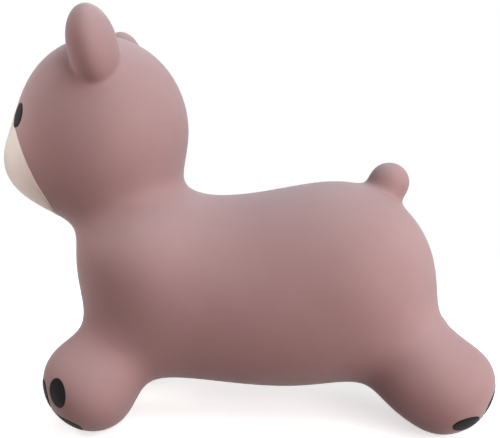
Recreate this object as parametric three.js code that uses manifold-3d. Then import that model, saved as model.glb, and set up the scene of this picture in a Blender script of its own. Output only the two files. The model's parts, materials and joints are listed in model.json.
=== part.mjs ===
// Bear hopper: an air-filled bouncing toy in the shape of a bear in mid leap.
// Millimetres, +Z up. The bear faces -X, its left side is -Y, and it stands on the floor at z = 0.
// In life the skin is one hollow soft moulding. Here it is parted at the roots of its lobes, on balls
// about the points where the lobes flex. The painted zones are thin films that lie on the skin.

import * as THREE from 'three';
import { mergeVertices } from 'three/addons/utils/BufferGeometryUtils.js';
import Module from 'manifold-3d';

const wasm = await Module();
wasm.setup();

// Skin

const wall = 2.5; // thickness of the soft moulding
const flexGap = 0.6; // parting between two lobes
const footFlat = 2; // depth of the flat that each foot stands on

// Lobes of the skin, as full sizes before the blends between them swell the surface by a few millimetres

const groundClearance = 25.5; // from the floor to the belly lobe
const belly = { x: 36, length: 344, width: 228, height: 222 };
const chest = { inset: 20, rise: 48.5, length: 137, width: 208, height: 120 }; // inset from the belly's front
const rump = { inset: 84, rise: 30, length: 161, width: 220, height: 172 }; // rise from the belly's middle
const torsoBlend = 116;

const skull = { inset: 24.5, rise: 136, length: 191, width: 208, height: 211 }; // from the chest's front
const muzzle = { inset: 51, drop: 37, length: 130, width: 144, height: 96 }; // inset from the skull's front
const muzzleBlend = 57;
const neck = { blend: 64, flexRise: 56, flexRadius: 84 }; // flexRise from the chest's middle

const ear = { spread: 43.4, setBack: 3.8, standOff: 9.2, depth: 50.2, width: 75, height: 86 };
const earTilt = { lean: 9.5, splay: 14.7, flexDrop: 6, flexMargin: 2 };
const earBlend = 6;

const tail = { lean: 25, standOff: 23, width: 46.4, height: 45.8, flexDrop: 9, flexMargin: 5 };
const tailBlend = 24.5;

const frontLeg = {
  way: -1, // towards the bear's front
  beyond: -19.1, // from the chest's front out to the foot's middle
  footSide: 80.5,
  footWidth: 100.4,
  footDepth: 80.8,
  solePitch: 43.5,
  soleYaw: 22,
  thighBack: 77, // from the foot's middle to the thigh's
  thighIn: 56,
  thighUp: 82,
  thighWidth: 98.5,
  ankleBlend: 122,
  blend: 117,
  flexBack: 44, // from the foot's middle towards the thigh's
  flexPitch: 45,
  flexYaw: 26,
  flexMargin: 6.8,
};
const rearLeg = {
  way: 1,
  beyond: 26.6, // from the rump's rear out to the foot's middle
  footSide: 78,
  footWidth: 92.5,
  footDepth: 69.8,
  solePitch: 37,
  soleYaw: 24,
  thighBack: 32.6,
  thighIn: 6.5,
  thighUp: 17.5,
  thighWidth: 93.7,
  ankleBlend: 62,
  blend: 84,
  flexBack: 38,
  flexPitch: 38,
  flexYaw: 30,
  flexMargin: 13.2,
};
const crotchBlend = 20;

// Painted zones

const paint = { gap: 0.3, thickness: 0.6, clearance: 0.5 };
const muzzlePaint = { rise: -1, width: 162, height: 124 }; // rise from the muzzle's middle
const eyePaint = { side: 62, rise: 14, width: 19, height: 27, tilt: 20 }; // rise from the skull's middle
const nosePaint = { rise: 30, width: 36, height: 25 };
const mouthPaint = { drop: 2, width: 46, sag: 12, line: 3.2 };

const toePad = { width: 22, length: 30 };
const mainPad = { width: 54, length: 34 };

// Places of the pads, as degrees outward from straight ahead (or back) and up from the horizon.
// The toes point to the heel.
const frontPads = {
  main: [39, -46],
  heel: [180, -78],
  toes: { outer: [66, 13], middle: [31, -8], inner: [-9, -2] },
};
const rearPads = {
  main: [10, -6],
  heel: [10, -6],
  toes: { outer: [88, -26], middle: [34, -52], inner: [-30, -46] },
};

// Inflation valve under the belly: a boss moulded to the skin, and a push-in plug

const valve = { back: 4, bossRadius: 13, bossHeight: 12 }; // back from the belly's middle
const plug = { headRadius: 8, headDepth: 2.2, neckRadius: 4, tipRadius: 3.5, length: 14, chamfer: 0.6 };
const plugClearance = 0.3;

// Fineness of the faceted surfaces

const slopeStep = 0.05;
const settleSteps = 5;
const rayShare = 0.8; // of the way to the surface that each step of a ray takes
const raySteps = 80;
const cell = { torso: 36, head: 27, leg: 22, ear: 15, tail: 14 };
const ballSteps = 10;
const turnSteps = 40;
const valveSteps = 20;
const ovalSteps = 7;

// Finishes

const roseSkin = { color: 0xa98585, roughness: 0.6, metalness: 0 };
const creamPaint = { color: 0xe1d3cb, roughness: 0.55, metalness: 0 };
const blackPaint = { color: 0x201e1d, roughness: 0.45, metalness: 0 };
const plugPlastic = { color: 0xe4dcd2, roughness: 0.4, metalness: 0 };

const vector = (x, y, z) => new THREE.Vector3(x, y, z);
const radians = THREE.MathUtils.degToRad;
const sides = [
  { word: 'left', sign: -1 },
  { word: 'right', sign: 1 },
];

// Fields: each gives about the distance from a point to a surface, below zero inside it

const lobePoint = vector(0, 0, 0);

function ellipsoid(centre, half, turn) {
  const intoLobe = turn ? turn.clone().invert() : null;
  return (point) => {
    const q = lobePoint.copy(point).sub(centre);
    if (intoLobe) q.applyQuaternion(intoLobe);
    const scaled = q.divide(half).length();
    const slope = Math.max(q.divide(half).length(), Number.EPSILON);
    return (scaled * (scaled - 1)) / slope;
  };
}

function blended(first, second, radius) {
  return (point) => {
    const a = first(point);
    const b = second(point);
    const share = Math.max(radius - Math.abs(a - b), 0) / radius;
    return Math.min(a, b) - (share ** 3 * radius) / 6;
  };
}

function within(field, box) {
  const middle = box.getCenter(vector(0, 0, 0));
  const half = box.getSize(vector(0, 0, 0)).divideScalar(2);
  return (point) => {
    const beyondX = Math.abs(point.x - middle.x) - half.x;
    const beyondY = Math.abs(point.y - middle.y) - half.y;
    const beyondZ = Math.abs(point.z - middle.z) - half.z;
    return Math.max(field(point), beyondX, beyondY, beyondZ);
  };
}

function slopeOf(field, point) {
  const slope = vector(0, 0, 0);
  for (const axis of ['x', 'y', 'z']) {
    const probe = point.clone();
    probe[axis] += slopeStep;
    const ahead = field(probe);
    probe[axis] -= 2 * slopeStep;
    slope[axis] = (ahead - field(probe)) / (2 * slopeStep);
  }
  return slope;
}

// Moves a point along the field's slope until the field there has the given level
function settle(field, point, level) {
  const moved = point.clone();
  for (let step = 0; step < settleSteps; step++) {
    const slope = slopeOf(field, moved);
    moved.addScaledVector(slope, (level - field(moved)) / slope.lengthSq());
  }
  return moved;
}

// First point of a ray, from outside, where the field falls to the given level
function drop(field, from, direction, level) {
  const point = from.clone();
  for (let step = 0; step < raySteps; step++) {
    point.addScaledVector(direction, rayShare * (field(point) - level));
  }
  return point;
}

// Directions and lobe frames

// Direction at an angle outward from straight ahead (or back), and up from the horizon
function heading(way, sign, yaw, rise) {
  const level = Math.cos(radians(rise));
  return vector(
    way * level * Math.cos(radians(yaw)),
    sign * level * Math.sin(radians(yaw)),
    Math.sin(radians(rise)),
  );
}

const yAxis = vector(0, 1, 0);
const zAxis = vector(0, 0, 1);

// Frame whose Z axis is the outward direction, with its Y axis towards another direction
function frameAlong(outward, towards) {
  const y = towards.clone().addScaledVector(outward, -towards.dot(outward)).normalize();
  return new THREE.Matrix4().makeBasis(y.clone().cross(outward), y, outward);
}

const turnTo = (axis) => new THREE.Quaternion().setFromRotationMatrix(frameAlong(axis, yAxis));
const halfOf = (lobe) => vector(lobe.length / 2, lobe.width / 2, lobe.height / 2);
const reachAlong = (half, axis) => 1 / axis.clone().divide(half).length();

// Middles of the trunk and head lobes

const bellyMiddle = vector(belly.x, 0, groundClearance + belly.height / 2);
const chestMiddle = vector(belly.x - belly.length / 2 + chest.inset, 0, bellyMiddle.z + chest.rise);
const rumpMiddle = vector(belly.x + belly.length / 2 - rump.inset, 0, bellyMiddle.z + rump.rise);
const chestFront = chestMiddle.x - chest.length / 2;
const rumpRear = rumpMiddle.x + rump.length / 2;
const skullMiddle = vector(chestFront + skull.inset, 0, chestMiddle.z + skull.rise);
const muzzleMiddle = vector(
  skullMiddle.x - skull.length / 2 + muzzle.inset,
  0,
  skullMiddle.z - muzzle.drop,
);

function earLobe(sign) {
  const outward = vector(
    Math.sin(radians(ear.setBack)),
    sign * Math.cos(radians(ear.setBack)) * Math.sin(radians(ear.spread)),
    Math.cos(radians(ear.setBack)) * Math.cos(radians(ear.spread)),
  );
  const stand = reachAlong(halfOf(skull), outward) + ear.standOff;
  const middle = skullMiddle.clone().addScaledVector(outward, stand);
  const upright = Math.cos(radians(earTilt.splay));
  const axis = vector(
    -Math.sin(radians(earTilt.lean)) * upright,
    sign * Math.sin(radians(earTilt.splay)),
    Math.cos(radians(earTilt.lean)) * upright,
  );
  const half = vector(ear.depth / 2, ear.width / 2, ear.height / 2);
  const flex = {
    centre: middle.clone().addScaledVector(outward, -earTilt.flexDrop),
    axis: outward,
    radius: ear.height / 2 + earTilt.flexMargin,
    flare: ear.height / 4,
    rise: ear.height / 2,
    reach: ear.height,
  };
  return { middle, half, flex, field: ellipsoid(middle, half, turnTo(axis)) };
}

function tailLobe() {
  const axis = vector(Math.sin(radians(tail.lean)), 0, Math.cos(radians(tail.lean)));
  const stand = reachAlong(halfOf(rump), axis) + tail.standOff;
  const middle = rumpMiddle.clone().addScaledVector(axis, stand);
  const half = vector(tail.width / 2, tail.width / 2, tail.height / 2);
  const flex = {
    centre: middle.clone().addScaledVector(axis, -tail.flexDrop),
    axis,
    radius: tail.width / 2 + tail.flexMargin,
    flare: tail.width / 4,
    rise: tail.height / 2,
    reach: tail.height,
  };
  return { middle, half, flex, field: ellipsoid(middle, half) };
}

function legField(foot, thigh, leg, sole) {
  const footHalf = vector(leg.footWidth / 2, leg.footWidth / 2, leg.footDepth / 2);
  const thighHalf = vector(1, 1, 1).multiplyScalar(leg.thighWidth / 2);
  const footLobe = ellipsoid(foot, footHalf, turnTo(sole));
  return blended(ellipsoid(thigh, thighHalf), footLobe, leg.ankleBlend);
}

// Lowest point of a field's surface under a foot, found on a grid of rays from below
function lowestUnder(field, foot, radius) {
  const rays = 9;
  let lowest = foot;
  for (let i = -rays; i <= rays; i++) {
    for (let j = -rays; j <= rays; j++) {
      const from = vector(i / rays, j / rays, -2).multiplyScalar(radius).add(foot);
      const hit = drop(field, from, zAxis, 0);
      if (hit.z < lowest.z) lowest = hit;
    }
  }
  return lowest;
}

function legLobe(leg, trunkEnd, sign) {
  const sole = heading(leg.way, sign, leg.soleYaw, -leg.solePitch);
  const toThigh = vector(-leg.way * leg.thighBack, -sign * leg.thighIn, leg.thighUp);
  const foot = vector(trunkEnd + leg.way * leg.beyond, sign * leg.footSide, 0);
  const hanging = legField(foot, foot.clone().add(toThigh), leg, sole);
  const lowest = lowestUnder(hanging, foot, leg.footWidth / 2);
  foot.z = -lowest.z - footFlat;
  const thigh = foot.clone().add(toThigh);
  const flex = {
    centre: foot.clone().addScaledVector(toThigh.clone().normalize(), leg.flexBack),
    axis: heading(leg.way, sign, leg.flexYaw, -leg.flexPitch),
    radius: Math.max(leg.thighWidth, leg.footWidth) / 2 + leg.flexMargin,
    flare: leg.footWidth / 5,
    rise: leg.flexBack,
    reach: leg.flexBack + leg.footWidth,
  };
  const stand = vector(lowest.x, lowest.y, 0);
  return { foot, stand, flex, field: legField(foot, thigh, leg, sole) };
}

const ears = sides.map(({ sign }) => earLobe(sign));
const tailRoot = tailLobe();
const frontLegs = sides.map(({ sign }) => legLobe(frontLeg, chestFront, sign));
const rearLegs = sides.map(({ sign }) => legLobe(rearLeg, rumpRear, sign));

const neckAxis = skullMiddle.clone().sub(chestMiddle).normalize();
const neckFlex = {
  centre: chestMiddle.clone().addScaledVector(neckAxis, neck.flexRise),
  axis: neckAxis,
  radius: neck.flexRadius,
  flare: skull.width / 2,
  rise: skull.height / 8,
  reach: 1.5 * skull.height,
};

// Field of the whole skin

function skinField() {
  const chestLobe = ellipsoid(chestMiddle, halfOf(chest));
  const bellyLobe = ellipsoid(bellyMiddle, halfOf(belly));
  const rumpLobe = ellipsoid(rumpMiddle, halfOf(rump));
  const trunk = blended(blended(chestLobe, bellyLobe, torsoBlend), rumpLobe, torsoBlend);
  const pairOf = (lobes, radius) => blended(lobes[0].field, lobes[1].field, radius);
  const onFront = blended(trunk, pairOf(frontLegs, crotchBlend), frontLeg.blend);
  const onLegs = blended(onFront, pairOf(rearLegs, crotchBlend), rearLeg.blend);
  const skullLobe = ellipsoid(skullMiddle, halfOf(skull));
  const muzzleLobe = ellipsoid(muzzleMiddle, halfOf(muzzle));
  const withHead = blended(onLegs, blended(skullLobe, muzzleLobe, muzzleBlend), neck.blend);
  const withEars = blended(withHead, pairOf(ears, earBlend), earBlend);
  return blended(withEars, tailRoot.field, tailBlend);
}

const skin = skinField();
const standing = (point) => Math.max(skin(point), -point.z);

// Faceted surfaces and solids

const cornerSteps = [
  [0, 0, 0], [1, 0, 0], [0, 1, 0], [1, 1, 0],
  [0, 0, 1], [1, 0, 1], [0, 1, 1], [1, 1, 1],
];
const cellEdges = [
  [0, 1], [2, 3], [4, 5], [6, 7],
  [0, 2], [1, 3], [4, 6], [5, 7],
  [0, 4], [1, 5], [2, 6], [3, 7],
];
const faceRing = [[-1, -1], [0, -1], [0, 0], [-1, 0]]; // cells round a grid edge, across its other two axes
const outside = -1;

// Numbers the separate groups of a cell's corners that lie inside the surface
function sheetsOf(corners) {
  const sheets = corners.map((value, corner) => (value < 0 ? corner : outside));
  for (let pass = 0; pass < corners.length; pass++) {
    for (const [a, b] of cellEdges) {
      if (sheets[a] === outside || sheets[b] === outside) continue;
      sheets[a] = Math.min(sheets[a], sheets[b]);
      sheets[b] = sheets[a];
    }
  }
  return sheets;
}

// Net of the skin's surface inside a box: in each cell one point for each sheet of the surface that
// crosses it, and one four-sided face across each grid edge that it crosses. The number of cells is odd,
// so one is centred in the box, and there is more than one to spare at each end.
function netOf(box, size) {
  const field = within(skin, box);
  const cellPairs = box.getSize(vector(0, 0, 0)).divideScalar(2 * size).ceil();
  const cells = cellPairs.multiplyScalar(2).addScalar(3);
  const start = box.getCenter(vector(0, 0, 0)).addScaledVector(cells, -size / 2);
  const key = (i, j, k) => (i * (cells.y + 2) + j) * (cells.z + 2) + k;
  const cornerKey = (i, j, k, corner) => cornerSteps.length * key(i, j, k) + corner;
  const nodeAt = (i, j, k) => vector(i, j, k).multiplyScalar(size).add(start);

  const level = new Map();
  for (let i = 0; i <= cells.x; i++) {
    for (let j = 0; j <= cells.y; j++) {
      for (let k = 0; k <= cells.z; k++) level.set(key(i, j, k), field(nodeAt(i, j, k)));
    }
  }

  const points = [];
  const pointOfCorner = new Map();
  const addCellPoints = (i, j, k) => {
    const corners = cornerSteps.map(([a, b, c]) => level.get(key(i + a, j + b, k + c)));
    const sheets = sheetsOf(corners);
    for (const sheet of new Set(sheets)) {
      const crossed = cellEdges.filter(([a, b]) => (sheets[a] === sheet) !== (sheets[b] === sheet));
      if (sheet === outside || crossed.length === 0) continue;
      const mean = vector(0, 0, 0);
      for (const [from, to] of crossed) {
        const share = corners[from] / (corners[from] - corners[to]);
        mean.add(vector(...cornerSteps[from]).lerp(vector(...cornerSteps[to]), share));
      }
      mean.divideScalar(crossed.length).add(vector(i, j, k)).multiplyScalar(size).add(start);
      sheets.forEach((own, corner) => {
        if (own === sheet) pointOfCorner.set(cornerKey(i, j, k, corner), points.length);
      });
      points.push(settle(field, mean, 0));
    }
  };
  for (let i = 0; i < cells.x; i++) {
    for (let j = 0; j < cells.y; j++) {
      for (let k = 0; k < cells.z; k++) addCellPoints(i, j, k);
    }
  }

  const triangles = [];
  const addFace = (node, axis) => {
    const next = [...node];
    next[axis] += 1;
    const outgoing = level.get(key(...node)) < 0;
    if (outgoing === level.get(key(...next)) < 0) return;
    const inner = outgoing ? node : next;
    const ring = faceRing.map(([b, c]) => {
      const at = [...node];
      at[(axis + 1) % 3] += b;
      at[(axis + 2) % 3] += c;
      const corner = cornerSteps.findIndex((steps) => steps.every((step, n) => at[n] + step === inner[n]));
      return pointOfCorner.get(cornerKey(...at, corner));
    });
    if (!outgoing) ring.reverse();
    const [p, q, r, s] = ring;
    const splitsAlongFirst = points[p].distanceTo(points[r]) < points[q].distanceTo(points[s]);
    triangles.push(...(splitsAlongFirst ? [p, q, r, p, r, s] : [q, r, s, q, s, p]));
  };
  for (let i = 1; i < cells.x; i++) {
    for (let j = 1; j < cells.y; j++) {
      for (let k = 1; k < cells.z; k++) {
        for (let axis = 0; axis < 3; axis++) addFace([i, j, k], axis);
      }
    }
  }
  return { box, field, points, triangles };
}

function solidFrom(positions, triangles) {
  return new wasm.Manifold(
    new wasm.Mesh({
      numProp: 3,
      vertProperties: Float32Array.from(positions),
      triVerts: Uint32Array.from(triangles),
    }),
  );
}

function solidOf(geometry) {
  const bare = geometry.clone();
  bare.deleteAttribute('normal');
  bare.deleteAttribute('uv');
  const merged = mergeVertices(bare);
  const index = merged.index.array;
  const triangles = [];
  for (let i = 0; i < index.length; i += 3) {
    const [a, b, c] = [index[i], index[i + 1], index[i + 2]];
    if (a !== b && b !== c && c !== a) triangles.push(a, b, c);
  }
  return solidFrom(merged.attributes.position.array, triangles);
}

// Solid inside one level of a field, on the net of the skin, so that such solids lie parallel
function solidAt(net, field, level) {
  const positions = net.points.flatMap((point) => settle(field, point, level).toArray());
  return solidFrom(positions, net.triangles);
}

// The skin is a full wall thick above the flats that it stands on
function skinOf(net) {
  const inside = within(standing, net.box);
  return solidAt(net, net.field, 0).subtract(solidAt(net, inside, -wall));
}

function paintOf(net) {
  const top = solidAt(net, net.field, paint.gap + paint.thickness);
  return top.subtract(solidAt(net, net.field, paint.gap));
}

// Solid turned about +Z from a profile of [radius, height] pairs, set on an axis at a place
function turned(profile, steps, place, axis) {
  const points = profile.map(([radius, height]) => new THREE.Vector2(radius, height));
  const geometry = new THREE.LatheGeometry(points, steps);
  geometry.applyQuaternion(new THREE.Quaternion().setFromUnitVectors(yAxis, axis));
  geometry.translate(place.x, place.y, place.z);
  return solidOf(geometry);
}

// Ball about the point where a lobe flexes, continued outward as a cone that holds the lobe
function flexBody(flex, extra) {
  const radius = flex.radius + extra;
  const profile = [[0, -radius]];
  for (let step = 1; step <= ballSteps; step++) {
    const angle = ((step / ballSteps - 1) * Math.PI) / 2;
    profile.push([radius * Math.cos(angle), radius * Math.sin(angle)]);
  }
  profile.push([radius + flex.flare, flex.rise], [radius + flex.flare, flex.reach], [0, flex.reach]);
  return turned(profile, turnSteps, flex.centre, flex.axis);
}

const lobeOf = (flex) => flexBody(flex, 0);
const socketOf = (flex) => flexBody(flex, flexGap);

// Straight cutter with an outline, standing on a frame and reaching out along its Z axis
function stencil(outline, frame, reach) {
  const options = { depth: reach, bevelEnabled: false, curveSegments: ovalSteps };
  const geometry = new THREE.ExtrudeGeometry(outline, options);
  return solidOf(geometry.applyMatrix4(frame));
}

function oval(width, height) {
  return new THREE.Shape().absellipse(0, 0, width / 2, height / 2, 0, 2 * Math.PI);
}

function boxAround(middle, half) {
  return new THREE.Box3(middle.clone().sub(half), middle.clone().add(half));
}

const ballBox = (centre, radius) => boxAround(centre, vector(radius, radius, radius));
const flexBox = (flex) => ballBox(flex.centre, flex.radius);

// Scene graph: each lobe hangs at the point where it flexes

const bear = new THREE.Group();

function joined(parent, pivot) {
  const group = new THREE.Group();
  group.userData.pivot = pivot;
  group.position.copy(pivot).sub(parent.userData.pivot ?? vector(0, 0, 0));
  parent.add(group);
  return group;
}

function addPiece(group, name, solid, finish) {
  const { vertProperties, triVerts } = solid.getMesh();
  const pivot = group.userData.pivot ?? vector(0, 0, 0);
  const geometry = new THREE.BufferGeometry();
  geometry.setAttribute('position', new THREE.BufferAttribute(Float32Array.from(vertProperties), 3));
  geometry.setIndex([...triVerts]);
  geometry.translate(-pivot.x, -pivot.y, -pivot.z);
  geometry.computeVertexNormals();
  const mesh = new THREE.Mesh(geometry, new THREE.MeshStandardMaterial(finish));
  mesh.name = name;
  group.add(mesh);
}

// Torso with the valve boss under the belly

const legs = [...frontLegs, ...rearLegs];
const valvePlace = drop(skin, vector(belly.x + valve.back, 0, -belly.height), zAxis, 0);

const plugProfile = [
  [0, 0],
  [plug.headRadius - plug.chamfer, 0],
  [plug.headRadius, plug.chamfer],
  [plug.headRadius, plug.headDepth],
  [plug.neckRadius, plug.headDepth],
  [plug.tipRadius, plug.length],
  [0, plug.length],
];
const seatProfile = [
  [0, -plug.headRadius],
  [plug.headRadius + plugClearance, -plug.headRadius],
  [plug.headRadius + plugClearance, plug.headDepth + plugClearance],
  [plug.neckRadius + plugClearance, plug.headDepth + plugClearance],
  [plug.tipRadius + plugClearance, valve.bossHeight + plug.length],
  [0, valve.bossHeight + plug.length],
];
const bossProfile = [
  [0, wall / 2],
  [valve.bossRadius, wall / 2],
  [valve.bossRadius, valve.bossHeight],
  [0, valve.bossHeight],
];

function torsoSolid() {
  const flexes = [...legs.map((leg) => leg.flex), tailRoot.flex, neckFlex];
  const box = boxAround(bellyMiddle, halfOf(belly));
  box.union(boxAround(chestMiddle, halfOf(chest)));
  box.union(boxAround(rumpMiddle, halfOf(rump)));
  for (const flex of flexes) box.union(flexBox(flex));
  const shell = skinOf(netOf(box.expandByScalar(cell.torso), cell.torso));

  let torso = shell.add(turned(bossProfile, valveSteps, valvePlace, zAxis));
  torso = torso.subtract(turned(seatProfile, valveSteps, valvePlace, zAxis));
  for (const flex of flexes) torso = torso.subtract(socketOf(flex));
  return torso;
}

addPiece(bear, 'torso_skin', torsoSolid(), roseSkin);

const plugGroup = joined(bear, valvePlace);
addPiece(plugGroup, 'valve_plug', turned(plugProfile, valveSteps, valvePlace, zAxis), plugPlastic);

// Tail

const tailGroup = joined(bear, tailRoot.flex.centre);
const tailBox = boxAround(tailRoot.middle, tailRoot.half).union(flexBox(tailRoot.flex));
const tailNet = netOf(tailBox.expandByScalar(cell.tail), cell.tail);
addPiece(tailGroup, 'tail', skinOf(tailNet).intersect(lobeOf(tailRoot.flex)), roseSkin);

// Legs with their painted pads

// Box that holds a leg, with the middle of its floor under the point that the foot stands on
function legBox({ foot, stand, flex }, leg) {
  const box = flexBox(flex).union(ballBox(foot, leg.footWidth / 2));
  for (const corner of [box.min.clone(), box.max.clone()]) {
    box.expandByPoint(vector(2 * stand.x - corner.x, 2 * stand.y - corner.y, corner.z));
  }
  return box.expandByScalar(cell.leg);
}

const padOutline = (pad, spare) => oval(pad.width + 2 * spare, pad.length + 2 * spare);

function addLeg(name, root, leg, pads, sign) {
  const group = joined(bear, root.flex.centre);
  const net = netOf(legBox(root, leg), cell.leg);
  const groundSize = 4 * leg.footWidth;
  const slab = new THREE.BoxGeometry(groundSize, groundSize, groundSize);
  const ground = solidOf(slab.translate(root.foot.x, root.foot.y, -groundSize / 2));
  const skinned = skinOf(net).intersect(lobeOf(root.flex)).subtract(ground);
  addPiece(group, name, skinned, roseSkin);

  const film = paintOf(net).subtract(ground);
  const cutter = (outline, frame) => stencil(outline, frame.setPosition(root.foot), leg.footWidth);
  const mainWay = heading(leg.way, sign, ...pads.main);
  const heelWay = heading(leg.way, sign, ...pads.heel);
  let main = film.intersect(cutter(padOutline(mainPad, 0), frameAlong(mainWay, zAxis)));
  for (const [place, angles] of Object.entries(pads.toes)) {
    const frame = frameAlong(heading(leg.way, sign, ...angles), heelWay);
    addPiece(group, `${name}_${place}_toe`, film.intersect(cutter(padOutline(toePad, 0), frame)), blackPaint);
    main = main.subtract(cutter(padOutline(toePad, paint.clearance), frame));
  }
  addPiece(group, `${name}_main_pad`, main, blackPaint);
}

sides.forEach(({ word, sign }, n) => {
  addLeg(`front_${word}_leg`, frontLegs[n], frontLeg, frontPads, sign);
  addLeg(`rear_${word}_leg`, rearLegs[n], rearLeg, rearPads, sign);
});

// Head with its ears and painted face

const headGroup = joined(bear, neckFlex.centre);
const headBox = boxAround(skullMiddle, halfOf(skull)).union(boxAround(muzzleMiddle, halfOf(muzzle)));
headBox.union(flexBox(neckFlex));
for (const { flex } of ears) headBox.union(flexBox(flex));
const headNet = netOf(headBox.expandByScalar(cell.head), cell.head);

let headSkin = skinOf(headNet).intersect(lobeOf(neckFlex));
for (const { flex } of ears) headSkin = headSkin.subtract(socketOf(flex));
addPiece(headGroup, 'head_skin', headSkin, roseSkin);

ears.forEach(({ middle, half, flex }, n) => {
  const earBox = ballBox(middle, half.z).union(flexBox(flex)).expandByScalar(cell.ear);
  const earSkin = skinOf(netOf(earBox, cell.ear)).intersect(lobeOf(flex));
  addPiece(joined(headGroup, flex.centre), `${sides[n].word}_ear`, earSkin, roseSkin);
});

// Frame of a stencil that faces forward: its X runs to the bear's left, its Y up
function faceFrame(side, height, tilt) {
  const frame = new THREE.Matrix4().makeBasis(vector(0, -1, 0), zAxis, vector(-1, 0, 0));
  frame.setPosition(skullMiddle.x, side, height);
  return frame.multiply(new THREE.Matrix4().makeRotationZ(radians(tilt)));
}

// Upturned crescent of a given line width
function crescent({ width, sag, line }, spare) {
  const radius = (width ** 2 / 4 + sag ** 2) / (2 * sag);
  const spread = Math.asin(width / 2 / radius);
  const bottom = -Math.PI / 2;
  const half = line / 2 + spare;
  const shape = new THREE.Shape();
  shape.absarc(0, radius, radius + half, bottom - spread, bottom + spread, false);
  shape.absarc(0, radius, radius - half, bottom + spread, bottom - spread, true);
  return shape.closePath();
}

const faceReach = 1.5 * skull.length;
const faceFilm = paintOf(headNet);
const faceZone = (outline, frame) => faceFilm.intersect(stencil(outline, frame, faceReach));
const muzzleFrame = faceFrame(0, muzzleMiddle.z + muzzlePaint.rise, 0);
let muzzleFilm = faceZone(oval(muzzlePaint.width, muzzlePaint.height), muzzleFrame);

function addFacePaint(name, outlineWith, frame) {
  addPiece(headGroup, name, faceZone(outlineWith(0), frame), blackPaint);
  muzzleFilm = muzzleFilm.subtract(stencil(outlineWith(paint.clearance), frame, faceReach));
}

const ovalZone = (zone) => (spare) => oval(zone.width + 2 * spare, zone.height + 2 * spare);
const mouthZone = (spare) => crescent(mouthPaint, spare);

sides.forEach(({ word, sign }) => {
  const frame = faceFrame(sign * eyePaint.side, skullMiddle.z + eyePaint.rise, -sign * eyePaint.tilt);
  addFacePaint(`${word}_eye`, ovalZone(eyePaint), frame);
});
addFacePaint('nose', ovalZone(nosePaint), faceFrame(0, muzzleMiddle.z + nosePaint.rise, 0));
addFacePaint('mouth', mouthZone, faceFrame(0, muzzleMiddle.z - mouthPaint.drop, 0));
addPiece(headGroup, 'muzzle', muzzleFilm, creamPaint);

export default bear;
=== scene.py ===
import json
import math

import bmesh
import bpy
from mathutils import Matrix, Vector
from mathutils.bvhtree import BVHTree

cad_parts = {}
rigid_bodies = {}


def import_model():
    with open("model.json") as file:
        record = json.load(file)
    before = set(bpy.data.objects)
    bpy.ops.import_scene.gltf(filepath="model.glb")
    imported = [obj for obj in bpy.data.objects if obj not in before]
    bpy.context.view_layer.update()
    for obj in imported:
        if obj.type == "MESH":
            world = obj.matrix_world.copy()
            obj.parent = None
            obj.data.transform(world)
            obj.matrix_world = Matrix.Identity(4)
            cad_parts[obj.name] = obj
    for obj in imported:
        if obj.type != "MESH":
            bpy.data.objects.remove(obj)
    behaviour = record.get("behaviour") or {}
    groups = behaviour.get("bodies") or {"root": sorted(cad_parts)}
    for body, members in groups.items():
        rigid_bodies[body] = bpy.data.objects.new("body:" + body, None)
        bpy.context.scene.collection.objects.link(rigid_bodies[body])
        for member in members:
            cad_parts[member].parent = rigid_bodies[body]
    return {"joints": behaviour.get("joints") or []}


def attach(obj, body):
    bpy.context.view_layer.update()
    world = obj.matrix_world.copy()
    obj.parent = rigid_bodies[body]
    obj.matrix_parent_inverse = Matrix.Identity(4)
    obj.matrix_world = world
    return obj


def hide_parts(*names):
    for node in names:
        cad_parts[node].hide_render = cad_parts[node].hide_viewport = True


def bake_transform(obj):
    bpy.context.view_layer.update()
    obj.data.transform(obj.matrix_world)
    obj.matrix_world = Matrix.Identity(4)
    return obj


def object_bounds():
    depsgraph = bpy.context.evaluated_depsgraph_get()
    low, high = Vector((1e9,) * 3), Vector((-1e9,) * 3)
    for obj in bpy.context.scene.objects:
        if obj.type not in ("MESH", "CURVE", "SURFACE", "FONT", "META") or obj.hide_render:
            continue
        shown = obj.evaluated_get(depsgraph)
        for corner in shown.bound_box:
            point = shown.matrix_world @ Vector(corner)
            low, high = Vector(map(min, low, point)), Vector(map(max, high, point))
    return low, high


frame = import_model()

cadLow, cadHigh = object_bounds()
joints = {joint["name"]: joint for joint in frame["joints"]}
scene = bpy.context.scene


# camera at the photograph's place
photoCamera = {
    "aim": (0.0082, 0.0, 0.2195),
    "distance": 0.727,
    "azimuth": 0.49,  # degrees
    "elevation": 6.9,
    "roll": 0.55,
    "pixelsPerMetre": 850,  # at the aim point
    "imageWidth": 500,
    "sensorWidth": 36.0,
}


def makeCamera(spec):
    azimuth = math.radians(spec["azimuth"])
    elevation = math.radians(spec["elevation"])
    back = Vector((
        math.sin(azimuth) * math.cos(elevation),
        -math.cos(azimuth) * math.cos(elevation),
        math.sin(elevation),
    ))
    right = Vector((math.cos(azimuth), math.sin(azimuth), 0.0))
    turn = Matrix((right, back.cross(right), back)).transposed()
    turn = turn @ Matrix.Rotation(math.radians(spec["roll"]), 3, "Z")
    data = bpy.data.cameras.new("photoCamera")
    data.sensor_width = spec["sensorWidth"]
    data.lens = spec["pixelsPerMetre"] * spec["distance"] / spec["imageWidth"] * spec["sensorWidth"]
    camera = bpy.data.objects.new("photoCamera", data)
    camera.matrix_world = Matrix.Translation(Vector(spec["aim"]) + back * spec["distance"]) @ turn.to_4x4()
    scene.collection.objects.link(camera)
    scene.camera = camera


makeCamera(photoCamera)
print("camera set")


# node helpers
def addNode(tree, kind, **settings):
    node = tree.nodes.new(kind)
    for name, value in settings.items():
        setattr(node, name, value)
    return node


def feed(tree, socket, value):
    if isinstance(value, bpy.types.NodeSocket):
        tree.links.new(value, socket)
    else:
        socket.default_value = value


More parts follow.
